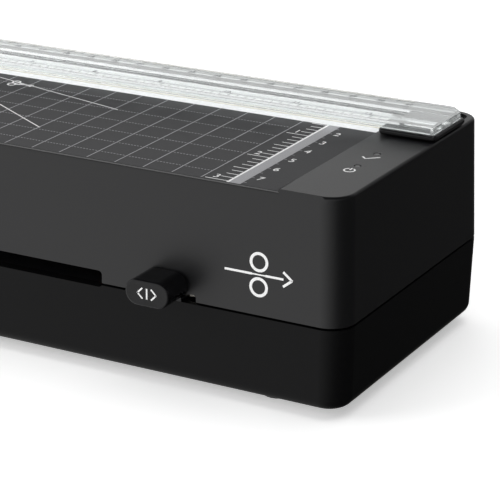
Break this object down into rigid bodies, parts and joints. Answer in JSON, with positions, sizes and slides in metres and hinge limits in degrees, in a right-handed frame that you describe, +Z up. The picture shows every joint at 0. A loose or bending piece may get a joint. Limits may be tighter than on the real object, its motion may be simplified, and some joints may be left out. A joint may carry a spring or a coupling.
{
  "type": "pouch laminator",
  "caption": "Desktop A4 pouch laminator with a cutting mat and a sliding-blade paper trimmer in its lid, a sideways release knob and heated rollers.",
  "frame": {"origin": "on the table, under the middle of the machine's bounding box", "axes": "+X to the right of a person who faces the pouch slot, +Y to the rear, +Z up"},
  "size_m": [0.3582, 0.116, 0.0981],
  "materials": {
    "black_plastic": "satin moulded ABS with a fine spark texture",
    "gloss_black": "polished moulded ABS",
    "mat_vinyl": "matt printed vinyl",
    "silver_plastic": "satin silver-white",
    "clear_acrylic": "clear, printed scales",
    "grey_plastic": "satin",
    "rubber": "matt",
    "silicone": "matt",
    "aluminium": "mill finish",
    "steel": "zinc plated",
    "spring_steel": "drawn wire",
    "mica": "pressed mica",
    "acetal": "natural",
    "circuit": "lacquered"
  },
  "bodies": {
    "machine": {"upper_housing": "black_plastic", "lower_housing": "black_plastic", "foot_front_left": "rubber", "foot_front_right": "rubber", "foot_rear_left": "rubber", "foot_rear_right": "rubber", "housing_screw_1": "steel", "housing_screw_2": "steel", "housing_screw_3": "steel", "housing_screw_4": "steel", "power_lens": "gloss_black", "ready_lens": "gloss_black", "indicator_board": "circuit", "cutting_mat": "mat_vinyl", "base_strip": "silver_plastic", "cutting_insert": "acetal", "rail_seat": "black_plastic", "hinge_block": "black_plastic", "hinge_pin": "steel", "left_side_plate": "steel", "right_side_plate": "steel", "front_tie_bar": "steel", "rear_tie_bar": "steel", "lower_bearing_left": "acetal", "lower_bearing_right": "acetal", "pressure_spring_left": "spring_steel", "pressure_spring_right": "spring_steel", "motor_body": "steel", "motor_bracket": "steel", "upper_heat_plate": "aluminium", "lower_heat_plate": "aluminium", "upper_heater_strip": "mica", "lower_heater_strip": "mica", "thermostat": "steel", "heat_shield": "aluminium", "entry_guide": "black_plastic", "exit_guide": "black_plastic", "circuit_board": "circuit", "transformer": "mat_vinyl", "switch_frame": "gloss_black", "cable_gland": "black_plastic"},
    "rail": {"ruler_rail": "clear_acrylic"},
    "carriage": {"blade_carriage": "black_plastic", "blade_spring": "spring_steel"},
    "blade_press": {"blade_holder": "grey_plastic", "blade_axle": "steel"},
    "blade": {"blade_wheel": "steel"},
    "release": {"release_knob": "gloss_black", "release_slider": "acetal"},
    "roller_lift": {"upper_bearing_left": "acetal", "upper_bearing_right": "acetal", "lift_bar": "steel"},
    "lower_roller": {"lower_roller_core": "aluminium", "lower_roller_sleeve": "silicone", "lower_roller_gear": "acetal"},
    "upper_roller": {"upper_roller_core": "aluminium", "upper_roller_sleeve": "silicone", "upper_roller_gear": "acetal"},
    "pinion": {"motor_pinion": "acetal"},
    "rocker": {"switch_rocker": "gloss_black"}
  },
  "joints": [
    {"name": "rail_lift", "type": "hinge", "parent": "machine", "child": "rail", "pos_m": [-0.168, 0.0299, 0.0752], "axis": [0, -1, 0], "range_deg": [0, 65]},
    {"name": "carriage_slide", "type": "slide", "parent": "rail", "child": "carriage", "axis": [1, 0, 0], "range_m": [0, 0.262]},
    {"name": "blade_press", "type": "slide", "parent": "carriage", "child": "blade_press", "axis": [0, 0, -1], "range_m": [0, 0.002], "stiffness_N_per_m": 300, "springref_m": -0.004, "deforming": ["blade_spring"]},
    {"name": "blade_spin", "type": "hinge", "parent": "blade_press", "child": "blade", "pos_m": [-0.128, 0.02895, 0.0798], "axis": [0, 1, 0], "continuous": true},
    {"name": "release_slide", "type": "slide", "parent": "machine", "child": "release", "axis": [-1, 0, 0], "range_m": [0, 0.0075]},
    {"name": "roller_lift", "type": "slide", "parent": "machine", "child": "roller_lift", "axis": [0, 0, 1], "range_m": [0, 0.0019], "deforming": ["pressure_spring_left", "pressure_spring_right"]},
    {"name": "lower_roller_spin", "type": "hinge", "parent": "machine", "child": "lower_roller", "pos_m": [0, 0.014, 0.0203], "axis": [1, 0, 0], "continuous": true},
    {"name": "upper_roller_spin", "type": "hinge", "parent": "roller_lift", "child": "upper_roller", "pos_m": [0, 0.014, 0.0427], "axis": [1, 0, 0], "continuous": true},
    {"name": "pinion_spin", "type": "hinge", "parent": "machine", "child": "pinion", "pos_m": [0.106, -0.00392, 0.0203], "axis": [1, 0, 0], "continuous": true},
    {"name": "switch_rock", "type": "hinge", "parent": "machine", "child": "rocker", "pos_m": [0.152, 0.052, 0.017], "axis": [0, 0, -1], "range_deg": [0, 20]}
  ],
  "couplings": [
    {"joint": "roller_lift", "follows": "release_slide", "ratio": 0.25},
    {"joint": "upper_roller_spin", "follows": "lower_roller_spin", "ratio": -1},
    {"joint": "pinion_spin", "follows": "lower_roller_spin", "ratio": -1.6667}
  ]
}
